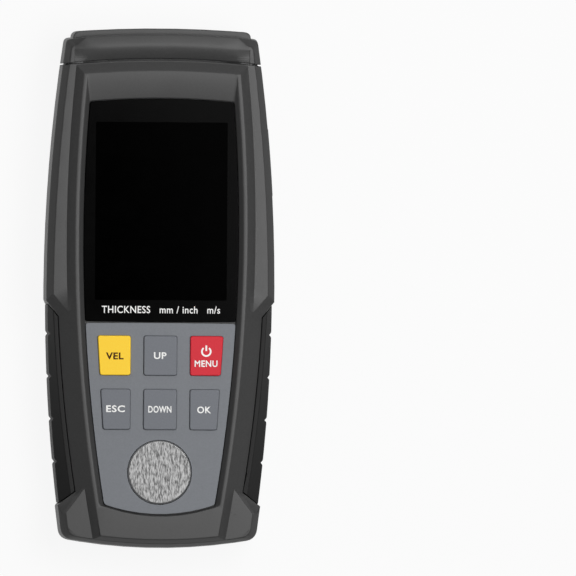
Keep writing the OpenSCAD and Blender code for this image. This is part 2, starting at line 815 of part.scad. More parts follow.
module top_cap() {
  hollow_y = head_y - 2.8;
  color("dimgray")
    difference() {
      union() {
        difference() {
          intersection() {
            body_skin();
            translate([0, seam_c, -1])
              rotate([0, 0, 80])
                rotate_extrude(angle = 20, $fn = fine)
                  polygon([
                    [seam_r + seam_gap / 2, 0],
                    [seam_r + 30, 0],
                    [seam_r + 30, shoulder_z + 1],
                    [seam_r + seam_gap / 2, shoulder_z + 1]
                  ]);
          }
          translate([0, 0, wall + 1])
            linear_extrude(shoulder_z - wall - 5.5)
              polygon([
                [side_x(seam_y - 8) - cap_wall, seam_y - 8],
                [side_x(hollow_y) - cap_wall, hollow_y],
                [-side_x(hollow_y) + cap_wall, hollow_y],
                [-side_x(seam_y - 8) + cap_wall, seam_y - 8]
              ]);
        }
        socket_boss();
        seam_core();
        for (s = [-1, 1])
          cap_tongue(s);
      }
      face_dish();
      for (s = [-1, 1])
        translate([s * socket_x, head_y - 10, socket_z])
          rotate([-90, 0, 0]) {
            cylinder(d = socket_barrel + 2 * barrel_fit, h = 20);
            translate([0, 0, 10 - flange_seat])
              cylinder(d = socket_flange + 1, h = 10);
          }
    }
}

// shallow hollow in the cap's face, between the seam and its front edge
module face_dish() {
  curve = [for (t = steps(0, 1, 8)) [seam_r + t * dish_len, shoulder_z - 4 * dish_depth * t * (1 - t)]];
  intersection() {
    translate([0, seam_c, 0])
      rotate([0, 0, 80])
        rotate_extrude(angle = 20, $fn = fine)
          polygon(concat(curve, [[seam_r + dish_len, shoulder_z + 1], [seam_r, shoulder_z + 1]]));
    translate([-dish_half, seam_y - 20, 0])
      cube([2 * dish_half, 40, shoulder_z + 2]);
  }
}

// raised boss that carries the two probe sockets
module socket_boss() {
  top = half_len;
  c = 2.2;
  low = head_y - 2.6;
  right = concat(
    [for (k = [1, 3, 5]) let (x = (boss_half - c) * k / 6) [x, top - sag(x, head_r)]],
    bend([boss_half - c, top - sag(boss_half - c, head_r)], [boss_half, top - 1.2], [boss_half, top - 1.2 - c], 4),
    [[boss_half, low]]
  );
  plate(right, boss_z0, boss_z1);
}

// tongue of the cap that goes into the halves on one side
module cap_tongue(s) {
  out = wall + side_draft + 0.25;
  y1 = head_y - 2.5;
  y0 = seam_y - sag(side_x(seam_y), seam_r) - tongue_len;
  translate([0, 0, wall])
    linear_extrude(part_z + 8 - wall)
      polygon([
        [s * (side_x(y1) - out), y1],
        [s * (side_x(y0) - out), y0],
        [s * (side_x(y0) - out - 1.7), y0],
        [s * (side_x(y1) - out - 1.7), y1]
      ]);
}

module right_grip() {
  color("#222222")
    grip();
}

module left_grip() {
  color("#222222")
    mirror([1, 0, 0])
      grip();
}

module housing_seal() {
  color("#1a1a1a")
    intersection() {
      difference() {
        union() {
          difference() {
            plate(room(1.4), part_z - seal_t, part_z);
            plate(room(0.7), part_z - 1, part_z + 1);
          }
          posts(part_z - seal_t, part_z, seal_eye, [post_foot]);
        }
        posts(part_z - 2, part_z + 2, screw_d + 0.7);
      }
      below_seam(seam_gap / 2 + 0.6, part_z - 2, part_z + 2);
    }
}

module housing_screws() {
  slot_len = 0.64 * screw_head_d;
  color("silver")
    for (p = [post_head, post_foot])
      for (s = [-1, 1])
        translate([s * p.x, p.y, screw_seat])
          difference() {
            union() {
              cylinder(d = screw_head_d, h = screw_head_h);
              cylinder(d = screw_d, h = part_z + screw_reach - screw_seat);
            }
            for (a = [0, 90])
              rotate([0, 0, a])
                translate([-slot_len / 2, -slot_w / 2, -1])
                  cube([slot_len, slot_w, slot_depth + 1]);
          }
}

module display_window() {
  color("black")
    plate(barrel(lens_off, lens_top, lens_top_r, lens_bottom, 2000, 0.6), lens_z - lens_t, lens_z);
}

module window_tape() {
  color("#101010")
    difference() {
      plate(barrel(lens_off, lens_top, lens_top_r, lens_bottom, 2000, 0.6), shelf_z, shelf_z + tape_t);
      translate([-screen_w / 2 - 0.6, screen_y - screen_h / 2 - 0.6, shelf_z - 1])
        cube([screen_w + 1.2, screen_h + 1.2, 3]);
    }
}

module lcd_module() {
  w = screen_w + 2 * lcd_border;
  h = screen_h + 2 * lcd_border + 4;
  color("#0a0a0a")
    difference() {
      translate([-w / 2, screen_y - screen_h / 2 - lcd_border - 4, board_z])
        cube([w, h, lcd_t]);
      translate([-screen_w / 2, screen_y - screen_h / 2, under_z - 0.4])
        cube([screen_w, screen_h, 2]);
    }
}

module keypad_panel() {
  color("#7d8083")
    difference() {
      plate(barrel(lens_off, panel_top, 2000, panel_bottom, panel_foot_r, 0.9), shelf_z, panel_z);
      all_key_prisms(key_fit, shelf_z - 1, panel_z + 1);
      translate([0, disc_y, shelf_z - 1])
        cylinder(d = disc_d + 2 * disc_fit, h = 10);
    }
}

// one key: cap through the panel and a flange behind the shelf
module key(col, row) {
  key_prism(col, row, 0, flange_top - 0.01, key_z);
  key_prism(col, row, key_flange, flange_bot, flange_top);
}

module key_vel() {
  color("#fbcf45")
    key(-1, 1);
}

module key_up() {
  color("#7e8186")
    key(0, 1);
}

module key_menu() {
  color("#e13c4b")
    key(1, 1);
}

module key_esc() {
  color("#7e8186")
    key(-1, 2);
}

module key_down() {
  color("#7e8186")
    key(0, 2);
}

module key_ok() {
  color("#7e8186")
    key(1, 2);
}

module keypad_mat() {
  dome_z = flange_bot - key_play;
  x = outer_key_x + outer_key_w / 2 - 0.6;
  half = outer_key_x + outer_key_w + mat_over - 1;
  color("#c9c9c9")
    difference() {
      union() {
        translate([-half, row2_top - row2_len - mat_over, board_z])
          cube([2 * half, row1_top - row2_top + row2_len + 2 * mat_over, mat_t]);
        for (row = [1, 2])
          for (u = [-x, 0, x])
            translate([u, row_mid(row), board_z])
              cylinder(r1 = dome_r, r2 = dome_r - 0.7, h = dome_z - board_z);
      }
      for (row = [1, 2])
        for (u = [-x, 0, x])
          translate([u, row_mid(row), board_z - 1])
            cylinder(r = dome_r - 1.3, h = 1 + (dome_z - board_z) * 0.5);
    }
}

// middle of a key row along the length
function row_mid(row) = row == 1 ? row1_top - row1_len / 2 : row2_top - row2_len / 2;

module test_block() {
  c = disc_chamfer;
  color("silver")
    translate([0, disc_y, disc_z])
      union() {
        cylinder(d = disc_d, h = disc_t - c);
        translate([0, 0, disc_t - c])
          cylinder(d1 = disc_d, d2 = disc_d - 2 * c, h = c);
      }
}

module main_board() {
  color("#1f5f3a")
    difference() {
      union() {
        translate([-board_half, board_bottom, board_low])
          cube([2 * board_half, board_top - board_bottom, board_t]);
        translate([0, port_mid - 7, board_low])
          cube([usb_mouth - 1.8, 14, board_t]);
      }
      board_pillars(board_low - 1, board_z + 1, board_screw_d + 0.3);
    }
}

module board_screws() {
  color("silver")
    for (p = board_posts)
      translate([p.x, p.y, board_low - board_screw_head_h])
        union() {
          cylinder(d = board_screw_head_d, h = board_screw_head_h);
          cylinder(d = board_screw_d, h = board_screw_head_h + board_t + board_screw_reach);
        }
}

// one turned probe socket, axis along Y
module socket(s) {
  color("#c9ccd0")
    translate([s * socket_x, socket_y, socket_z])
      rotate([-90, 0, 0])
        difference() {
          union() {
            cylinder(d = socket_flange, h = socket_flange_t);
            translate([0, 0, -barrel_len])
              cylinder(d = socket_barrel, h = barrel_len + socket_flange_t / 2);
          }
          translate([0, 0, -socket_depth])
            cylinder(d = socket_bore, h = 12);
          translate([0, 0, -socket_depth - 2])
            cylinder(d = socket_bore - 0.6, h = 4);
          translate([0, 0, -barrel_len - 1])
            cylinder(d = socket_bore - 1.5, h = barrel_len - 1);
          translate([0, 0, socket_flange_t - 0.4])
            cylinder(d1 = socket_bore, d2 = socket_bore + 1.2, h = 0.6);
        }
}

module socket_left() {
  socket(-1);
}

module socket_right() {
  socket(1);
}

module socket_insulators() {
  color("white")
    for (s = [-1, 1])
      translate([s * socket_x, socket_y, socket_z])
        rotate([-90, 0, 0])
          difference() {
            union() {
              translate([0, 0, -socket_depth - 2])
                cylinder(d = socket_bore - 0.9, h = 1.9);
              translate([0, 0, -barrel_len - 1])
                cylinder(d = socket_bore - 1.9, h = barrel_len - socket_depth);
            }
            translate([0, 0, -pin_len])
              cylinder(d = pin_d + 0.3, h = pin_len - socket_depth + 1);
          }
}

module socket_contacts() {
  color("gold")
    for (s = [-1, 1])
      translate([s * socket_x, socket_y, socket_z])
        rotate([-90, 0, 0])
          union() {
            translate([0, 0, -pin_len])
              cylinder(d = pin_d, h = pin_len - socket_depth - 0.05);
            translate([0, 0, -barrel_len - 1.6])
              cylinder(d = pin_d + 1.2, h = 0.6);
          }
}

module socket_nuts() {
  color("#b8bbc0")
    for (s = [-1, 1])
      translate([s * socket_x, head_y - 2.8, socket_z])
        rotate([90, 0, 0])
          difference() {
            rotate([0, 0, 30])
              cylinder(d = nut_flats / cos(30), h = nut_t, $fn = 6);
            translate([0, 0, -1])
              cylinder(d = socket_barrel + 2 * barrel_fit, h = nut_t + 2);
          }
}

module usb_socket() {
  color("silver")
    translate([usb_mouth - 5.6, port_mid - 3.75, board_low - usb_h])
      difference() {
        cube([5.6, 7.5, usb_h]);
        translate([1, 0.4, 0.4])
          cube([6, 6.7, usb_h - 0.8]);
      }
}

module usb_cover() {
  color("#1c1c1c")
    union() {
      port_layer(
        port_sink,
        port_sink + port_t,
        port_fit,
        port_swing,
        port_z0 + port_fit,
        port_z0 + port_h - port_fit
      );
      translate([side_x(port_mid) - port_sink - port_t - 1, port_mid - 3.6, usb_z - 1.4])
        cube([1.6, 7.2, 2.8]);
    }
}

module battery_pack() {
  color("#2b3a55")
    translate([-pack_half, pack_y - pack_len / 2, cover_t])
      cube([2 * pack_half, pack_len, pack_h]);
}

module battery_connector() {
  y = pack_y + pack_len / 2 - connector_in;
  color("#151515")
    union() {
      translate([-connector_w / 2, y - connector_t / 2, pack_top + spring_len])
        cube([connector_w, connector_t, board_low - pack_top - spring_len]);
      for (k = [-1, 0, 1])
        translate([k * connector_w / 3.1, y, pack_top])
          cylinder(d = connector_t / 3, h = spring_len + 1);
    }
}

module battery_cover() {
  f = cover_fit;
  color("dimgray")
    difference() {
      translate([-cover_half + f, cover_y0 + f, 0])
        cube([2 * cover_half - 2 * f, cover_y1 - cover_y0 - 2 * f, cover_t]);
      for (p = cover_screws)
        translate([p.x, p.y, -1]) {
          cylinder(d = cover_screw_d + 0.5, h = 5);
          cylinder(d = cover_screw_head_d + 0.4, h = 2);
        }
    }
}

module battery_cover_screws() {
  color("silver")
    for (p = cover_screws)
      translate([p.x, p.y, 0])
        difference() {
          union() {
            translate([0, 0, 0.1])
              cylinder(d = cover_screw_head_d, h = 0.9);
            translate([0, 0, 0.5])
              cylinder(d = cover_screw_d, h = cover_screw_len + 0.5);
          }
          translate([-cover_screw_head_d / 3, -slot_w / 2, 0])
            cube([cover_screw_head_d / 1.5, slot_w, 0.6]);
        }
}

front_housing();
rear_housing();
top_cap();
left_grip();
right_grip();
housing_seal();
housing_screws();
display_window();
window_tape();
lcd_module();
keypad_panel();
key_vel();
key_up();
key_menu();
key_esc();
key_down();
key_ok();
keypad_mat();
test_block();
main_board();
board_screws();
socket_left();
socket_right();
socket_insulators();
socket_contacts();
socket_nuts();
usb_socket();
usb_cover();
battery_pack();
battery_connector();
battery_cover();
battery_cover_screws();
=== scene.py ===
"""Looks of a handheld ultrasonic thickness gauge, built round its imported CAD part."""

import json
import logging
import math
from dataclasses import dataclass, field
from enum import Enum
from typing import Any, Callable, Optional

import bpy
from mathutils import Euler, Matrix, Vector

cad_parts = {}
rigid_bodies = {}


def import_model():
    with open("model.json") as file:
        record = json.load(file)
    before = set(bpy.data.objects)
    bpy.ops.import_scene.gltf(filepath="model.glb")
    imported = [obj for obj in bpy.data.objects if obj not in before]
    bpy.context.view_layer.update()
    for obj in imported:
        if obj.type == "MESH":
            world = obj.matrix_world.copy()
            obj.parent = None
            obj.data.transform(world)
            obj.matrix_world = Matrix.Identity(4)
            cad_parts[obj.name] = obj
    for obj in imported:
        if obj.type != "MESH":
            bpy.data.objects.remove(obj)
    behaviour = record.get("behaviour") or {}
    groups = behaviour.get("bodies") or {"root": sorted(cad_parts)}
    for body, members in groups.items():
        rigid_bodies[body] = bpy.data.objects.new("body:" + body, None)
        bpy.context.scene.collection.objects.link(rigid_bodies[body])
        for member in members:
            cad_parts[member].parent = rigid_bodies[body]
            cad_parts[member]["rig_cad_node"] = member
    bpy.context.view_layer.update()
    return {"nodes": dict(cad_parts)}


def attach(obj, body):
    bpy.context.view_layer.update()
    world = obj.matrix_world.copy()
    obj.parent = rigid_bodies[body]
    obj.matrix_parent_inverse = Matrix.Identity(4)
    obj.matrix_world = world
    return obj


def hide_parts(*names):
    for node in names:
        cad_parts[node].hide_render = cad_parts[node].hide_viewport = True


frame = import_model()

logging.basicConfig(level=logging.INFO, format="%(message)s")
log = logging.getLogger("gauge")

MM = 0.001
GAUGE = "gauge"
# points closer than this are one point, in mm
MERGE = 0.002
# an edge closer than this to a face's level lies in that face, in mm
LEVEL = 0.05
# faces that meet at less than this are one flat face, in degrees
FLAT = 0.5
Point = tuple[float, float, float]
EdgeTest = Callable[[Vector, Vector], bool]
Move = Callable[[Vector], Vector]


def linear(code: str) -> tuple[float, float, float, float]:
    """Turns an sRGB hex colour into linear light.

    Args:
        code: The colour as "#rrggbb".

    Returns:
        Linear red, green and blue, and an alpha of 1.
    """
    parts = [int(code[k : k + 2], 16) / 255 for k in (1, 3, 5)]
    r, g, b = (c / 12.92 if c <= 0.04045 else ((c + 0.055) / 1.055) ** 2.4 for c in parts)
    return r, g, b, 1.0


def add_node(
    tree: bpy.types.NodeTree,
    kind: str,
    values: Optional[dict[Any, Any]] = None,
    links: Optional[dict[Any, bpy.types.NodeSocket]] = None,
    **settings: Any,
) -> bpy.types.Node:
    """Adds one node with its settings, constants and incoming links.

    Args:
        tree: The material's or world's node tree.
        kind: The node's type name.
        values: Constant for each named input.
        links: Output socket for each named input.
        settings: Attributes of the node itself.

    Returns:
        The new node.
    """
    made = tree.nodes.new(kind)
    for key, value in settings.items():
        setattr(made, key, value)
    for key, value in (values or {}).items():
        made.inputs[key].default_value = value
    for key, source in (links or {}).items():
        tree.links.new(source, made.inputs[key])
    return made


class Grain(Enum):
    """Whether a surface's pattern is the same every way or drawn out along one direction."""

    EVEN = "even"
    DRAWN = "drawn"


# how many times longer than wide a drawn grain is
STREAK = 4.5
# the part of the noise that runs from the low to the high tint, narrower for the stronger streaks
TINT = {Grain.EVEN: (0.3, 0.7), Grain.DRAWN: (0.38, 0.62)}


@dataclass(frozen=True)
class Finish:
    """A real material with the way its surface was made.

    The pattern is a noise of grain_mm across. It tints the colour between low and high, varies the
    roughness and lifts the surface by relief_mm.
    """

    name: str
    low: str
    high: str
    roughness: float
    grain_mm: float
    relief_mm: float = 0.0
    grain: Grain = Grain.EVEN
    ior: Optional[float] = 1.5
    specular: float = 0.5
    metallic: float = 0.0
    spread: float = 0.06

    def material(self) -> bpy.types.Material:
        """Gives the finish's material, made the first time it is asked for."""
        known = bpy.data.materials.get(self.name)
        return known if known else self.make()

    def make(self) -> bpy.types.Material:
        """Builds the node tree of this finish.

        Returns:
            The new material.
        """
        mat = bpy.data.materials.new(self.name)
        mat.use_nodes = True
        tree = mat.node_tree
        shader = tree.nodes["Principled BSDF"]
        place = add_node(tree, "ShaderNodeTexCoord").outputs["Object"]
        across = 1 / (self.grain_mm * MM)
        along = across / STREAK if self.grain is Grain.DRAWN else across
        weakest, strongest = TINT[self.grain]
        turned = add_node(
            tree, "ShaderNodeMapping", {"Scale": (across, along, across)}, {"Vector": place}
        ).outputs["Vector"]
        noise = add_node(
            tree,
            "ShaderNodeTexNoise",
            {"Scale": 1.0, "Detail": 3.0, "Roughness": 0.6},
            {"Vector": turned},
        ).outputs["Fac"]
        tint = add_node(
            tree,
            "ShaderNodeMapRange",
            {"From Min": weakest, "From Max": strongest},
            {"Value": noise},
        ).outputs["Result"]
        colour = add_node(
            tree,
            "ShaderNodeMix",
            {6: linear(self.low), 7: linear(self.high)},
            {0: tint},
            data_type="RGBA",
        ).outputs[2]
        rough = add_node(
            tree,
            "ShaderNodeMapRange",
            {"To Min": self.roughness - self.spread, "To Max": self.roughness + self.spread},
            {"Value": noise},
        ).outputs["Result"]
        tree.links.new(colour, shader.inputs["Base Color"])
        tree.links.new(rough, shader.inputs["Roughness"])
        shader.inputs["Metallic"].default_value = self.metallic
        shader.inputs["Specular IOR Level"].default_value = self.specular
        if self.ior is not None:
            shader.inputs["IOR"].default_value = self.ior
        if self.relief_mm:
            lift = add_node(
                tree,
                "ShaderNodeBump",
                {"Strength": 1.0, "Distance": self.relief_mm * MM},
                {"Height": noise},
            ).outputs["Normal"]
            tree.links.new(lift, shader.inputs["Normal"])
        return mat


# The real grain of moulded, painted and printed surfaces is 0.05 to 0.15 mm, and that of turned and
# plated ones is finer still. Neither would show, so they are drawn at about 0.4 to 1.2 mm.

# ABS moulded in a spark-eroded tool: dull, with a fine grain
HOUSING_ABS = Finish("moulded_abs_charcoal", "#373737", "#3d3d3d", 0.5, 0.7, 0.012, specular=0.4)
# overmoulded elastomer: nearly black and without shine
GRIP_RUBBER = Finish("overmoulded_rubber", "#1b1b1b", "#202020", 0.6, 0.8, 0.016, specular=0.2)
# anti-reflection coated acrylic over a black print: deep black with a faint sheen that wanders
# slowly, over 6 mm
LENS_ACRYLIC = Finish(
    "coated_acrylic_black", "#060606", "#080808", 0.16, 6.0, ior=1.49, specular=0.006, spread=0.02
)
# unlit display glass: no colour of its own
DISPLAY_GLASS = Finish(
    "unlit_display_glass", "#000000", "#010101", 0.16, 6.0, ior=1.49, specular=0.002, spread=0.02
)
# moulded and spray-painted panel, satin
PANEL_PAINT = Finish("satin_grey_paint", "#74777c", "#7a7d82", 0.6, 0.6, 0.006, specular=0.25)
# keys of coated silicone, a little smoother than the panel
KEY_YELLOW = Finish(
    "coated_silicone_yellow", "#ffd034", "#ffd640", 0.6, 0.6, 0.004, ior=1.41, specular=0.25
)
KEY_GREY = Finish(
    "coated_silicone_grey", "#707379", "#76797f", 0.6, 0.6, 0.004, ior=1.41, specular=0.25
)
KEY_RED = Finish(
    "coated_silicone_red", "#d02a37", "#d6323f", 0.6, 0.6, 0.004, ior=1.41, specular=0.25
)
# pad-printed ink, matt and a touch uneven
INK_WHITE = Finish("pad_ink_white", "#f0f0ee", "#fafaf8", 0.6, 0.5)
INK_BROWN = Finish("pad_ink_brown", "#3f2005", "#4a2708", 0.6, 0.5, specular=0.15)
# ground carbon steel: streaks along the grinding marks, which are 0.05 mm wide on a real block
TEST_STEEL = Finish(
    "ground_steel",
    "#4c4c4c",
    "#a2a2a2",
    0.55,
    0.38,
    0.008,
    Grain.DRAWN,
    ior=None,
    metallic=1.0,
    spread=0.1,
)
# turned steel: the block's rim, brighter than its ground face
RIM_STEEL = Finish("turned_steel", "#bcbcbc", "#d2d2d2", 0.38, 0.4, ior=None, metallic=1.0)
# zinc-plated steel screws: pale, slightly blue, half bright
SCREW_ZINC = Finish("zinc_plated_steel", "#a9adb2", "#c3c6ca", 0.34, 0.5, ior=None, metallic=1.0)
# nickel-plated brass: warm pale metal
SOCKET_NICKEL = Finish(
    "nickel_plated_brass", "#b5b3ac", "#cfcdc6", 0.24, 0.4, ior=None, metallic=1.0
)
# gold-plated bronze pins: yellow and bright
CONTACT_GOLD = Finish("gold_plated_bronze", "#c99b3f", "#dcb456", 0.25, 0.4, ior=None, metallic=1.0)
# turned fluoropolymer: waxy white
INSULATOR_PTFE = Finish("turned_ptfe", "#e6e5df", "#efeee9", 0.5, 0.5, ior=1.38)
# silicone sheet: milky
MAT_SILICONE = Finish("translucent_silicone", "#bdbdb8", "#c8c8c3", 0.55, 0.6)
# foam seal: black and dead matt
SEAL_RUBBER = Finish("foam_rubber", "#161616", "#1c1c1c", 0.85, 0.5, 0.02, specular=0.2)
# moulded soft vinyl of the port cover: black, with a little more shine than the grips
PORT_RUBBER = Finish("soft_pvc_black", "#1b1b1b", "#202020", 0.6, 0.7, 0.01, specular=0.35)
# solder mask on glass fibre: green and half bright
BOARD_MASK = Finish("solder_mask_green", "#174d2e", "#1c5a37", 0.4, 1.2, 0.006)
# shrink film round the battery: dark blue, with folds of 3 mm
BATTERY_FILM = Finish("pvc_shrink_film_blue", "#25334c", "#2c3b57", 0.35, 3.0, 0.02)
# moulded nylon of the battery's connector: plain black
CONNECTOR_NYLON = Finish("moulded_nylon_black", "#141414", "#191919", 0.5, 0.6, 0.006)
# painted steel frame of the display module: black
LCD_FRAME = Finish("painted_steel_black", "#0b0b0b", "#101010", 0.45, 0.6, 0.004)


def only(obj: bpy.types.Object) -> None:
    """Makes obj the one selected and active object."""
    bpy.ops.object.select_all(action="DESELECT")
    obj.select_set(True)
    bpy.context.view_layer.objects.active = obj


def edit(obj: bpy.types.Object, kind: str = "EDGE") -> None:
    """Opens obj for editing with nothing selected, in the named select mode."""
    only(obj)
    bpy.ops.object.mode_set(mode="EDIT")
    bpy.ops.mesh.select_mode(type=kind)
    bpy.ops.mesh.select_all(action="DESELECT")


def done() -> None:
    """Leaves edit mode."""
    bpy.ops.object.mode_set(mode="OBJECT")


def name_mesh(obj: bpy.types.Object, name: str) -> None:
    """Names the object and its mesh."""
    obj.name = name
    obj.data.name = name


def settle(obj: bpy.types.Object) -> None:
    """Puts the object's place, turn and size into its mesh."""
    only(obj)
    bpy.ops.object.transform_apply(location=True, rotation=True, scale=True)


def dress(obj: bpy.types.Object, finish: Finish) -> None:
    """Gives the object this one finish."""
    obj.data.materials.clear()
    obj.data.materials.append(finish.material())


def register(obj: bpy.types.Object, body: str, slot: str, *nodes: str) -> None:
    """Ties a finished piece to its body and hides the CAD nodes that it stands for.

    Args:
        obj: The finished piece.
        body: The CAD body it rides on.
        slot: The record's material slot; not used.
        nodes: CAD nodes that it replaces.
    """
    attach(obj, body)
    if nodes:
        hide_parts(*nodes)
    log.info("%s: %d faces on %s", obj.name, len(obj.data.polygons), body)


def outer_edges(mesh: bpy.types.Mesh, least: float, test: EdgeTest) -> list[int]:
    """Finds the edges that stick out by more than an angle and pass a test of their two ends.

    Args:
        mesh: The mesh to look through.
        least: Least angle between the two faces, in degrees.
        test: Says whether an edge with these ends is wanted.

    Returns:
        The edges' numbers.
    """
    by_edge: dict[tuple[int, int], list[int]] = {}
    for poly in mesh.polygons:
        for key in poly.edge_keys:
            by_edge.setdefault(key, []).append(poly.index)
    found = []
    for edge in mesh.edges:
        sides = by_edge.get(tuple(sorted(edge.vertices)), [])
        if len(sides) != 2:
            continue
        a, b = (mesh.polygons[k] for k in sides)
        if a.normal.angle(b.normal, 0.0) < math.radians(least):
            continue
        ends = [mesh.vertices[v].co for v in edge.vertices]
        inward = b.center - ends[0]
        if a.normal.dot(inward) < 0 and test(*ends):
            found.append(edge.index)
    return found


@dataclass
class EdgedCopy:
    """A copy of one CAD node whose outer edges get the small radius of the real moulding.

    Only edges of at least the least angle that pass the test are rounded. A whole copy has each
    flat face in one piece, and move gives each point its new place in mm.
    """

    node: str
    name: str
    radius: float
    least: float = 12.0
    segments: int = 2
    smooth: float = 32.0
    test: EdgeTest = field(default=lambda a, b: True)
    move: Optional[Move] = None
    whole: bool = False

    def build(self) -> bpy.types.Object:
        """Copies, merges, rounds and smooths the node.

        Returns:
            The finished mesh object.
        """
        only(frame["nodes"][self.node])
        bpy.ops.object.duplicate()
        obj = bpy.context.view_layer.objects.active
        del obj["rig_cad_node"]
        name_mesh(obj, self.name)
        edit(obj, "VERT")
        bpy.ops.mesh.select_all(action="SELECT")
        bpy.ops.mesh.remove_doubles(threshold=MERGE * MM)
        # slivers in a flat face would fold over when its edge is rounded
        if self.whole:
            bpy.ops.mesh.dissolve_limited(angle_limit=math.radians(FLAT))
        else:
            bpy.ops.mesh.beautify_fill(angle_limit=math.radians(FLAT))
        bpy.ops.mesh.customdata_custom_splitnormals_clear()
        done()
        if self.move:
            for v in obj.data.vertices:
                v.co = self.move(v.co / MM) * MM
        chosen = outer_edges(obj.data, self.least, self.test)
        # with everything deselected, the chosen edges are the only ones that are rounded
        edit(obj)
        done()
        for k in chosen:
            obj.data.edges[k].select = True
        bpy.ops.object.mode_set(mode="EDIT")
        bpy.ops.mesh.bevel(
            offset=self.radius * MM,
            offset_type="OFFSET",
            segments=self.segments,
            profile=0.5,
            affect="EDGES",
            clamp_overlap=False,
        )
        done()
        only(obj)
        bpy.ops.object.shade_smooth_by_angle(angle=math.radians(self.smooth))
        weigh = obj.modifiers.new("even", "WEIGHTED_NORMAL")
        weigh.keep_sharp = True
        weigh.weight = 80
        bpy.ops.object.modifier_apply(modifier=weigh.name)
        return obj


@dataclass
class CapFace:
    """The end cap's face, which rises softly from a deep seam and falls gently in front, in mm."""

    # edges that are rounded lie on the outside, but are neither upright corners nor at a socket
    end_y: float = 84.5
    low_z: float = 1.6
    high_z: float = 28.3
    side_x: float = 31.5
    upright_rise: float = 2.0
    upright_x: float = 30.0
    socket: tuple[float, float] = (11.0, 19.0)
    socket_reach: float = 7.5
    # the seam is an arc round a point on the middle line
    seam_r: float = 310.0
    seam_c: float = -231.6
    # the dished part of the face runs from the seam to the chamfer and fades at the corners
    shoulder_z: float = 31.9
    shoulder_near: float = 0.005
    dish_len: float = 4.9
    dish_half: float = 30.0
    dish_depth: float = 0.6
    dish_fall: float = 1.3
    dish_curve: float = 1.5
    dish_end: float = 0.98
    face_rise: float = 0.9
    fade: float = 5.5
    # the chamfer's lower edge is lifted to make it flatter
    front_y: float = 83.0
    front_z: float = 29.2
    front_near: float = 0.06
    front_half: float = 31.5
    front_lift: float = 3.2
    front_out: float = 0.4
    front_fade: float = 4.3
    # the ring behind the seam becomes a lip under the front half's edge
    ring_near: float = 0.4
    ring_top: float = 30.9
    ring_split: float = 29.25
    lip_half: float = 25.0
    lip_z: float = 28.25
    lip_h: float = 0.65
    lip_out: float = 0.5

    def rounded(self, a: Vector, b: Vector) -> bool:
        """Tells whether an edge of the cap is on its outside and not at a socket.

        Args:
            a: One end of the edge, in metres.
            b: Its other end.

        Returns:
            True for an edge to be rounded.
        """
        ends = (a / MM, b / MM)
        outside = all(
            p.y > self.end_y or p.z < self.low_z or p.z > self.high_z or abs(p.x) > self.side_x
            for p in ends
        )
        rises = abs(a.z - b.z) > self.upright_rise * MM
        upright = rises and min(abs(a.x), abs(b.x)) > self.upright_x * MM
        x, z = self.socket
        at_socket = all(math.hypot(abs(p.x) - x, p.z - z) < self.socket_reach for p in ends)
        return outside and not upright and not at_socket

    def moved(self, p: Vector) -> Vector:
        """Gives a point of the cap its place in the moulded face.

        Args:
            p: A point of the cap, in mm.

        Returns:
            Its new place.
        """
        if p.y > self.front_y and abs(p.z - self.front_z) < self.front_near:
            share = min(max((self.front_half - abs(p.x)) / self.front_fade, 0.0), 1.0)
            return p + Vector((0.0, self.front_out, self.front_lift)) * share
        reach = math.hypot(p.x, p.y - self.seam_c) - self.seam_r
        in_ring = abs(reach) < self.ring_near and abs(p.x) < self.lip_half
        if in_ring and self.lip_z < p.z < self.ring_top:
            # the lip makes the groove deep and closes it
            level = self.lip_z if p.z > self.ring_split else self.lip_z - self.lip_h
            return Vector((p.x, p.y - (self.lip_out if reach < 0 else 0.0), level))
        t = reach / self.dish_len
        below = self.shoulder_z - p.z
        hollow = self.shoulder_near < below < self.dish_depth
        front = t > self.dish_end and abs(below) < self.shoulder_near
        if abs(p.x) > self.dish_half or not (hollow or front):
            return p.copy()
        share = min((self.dish_half - abs(p.x)) / self.fade, 1.0)
        left = (1 - min(t, 1.0)) ** self.dish_curve
        level = self.shoulder_z - self.dish_fall * left + self.face_rise * (1 - left)
        return Vector((p.x, p.y, p.z + (level - p.z) * share))


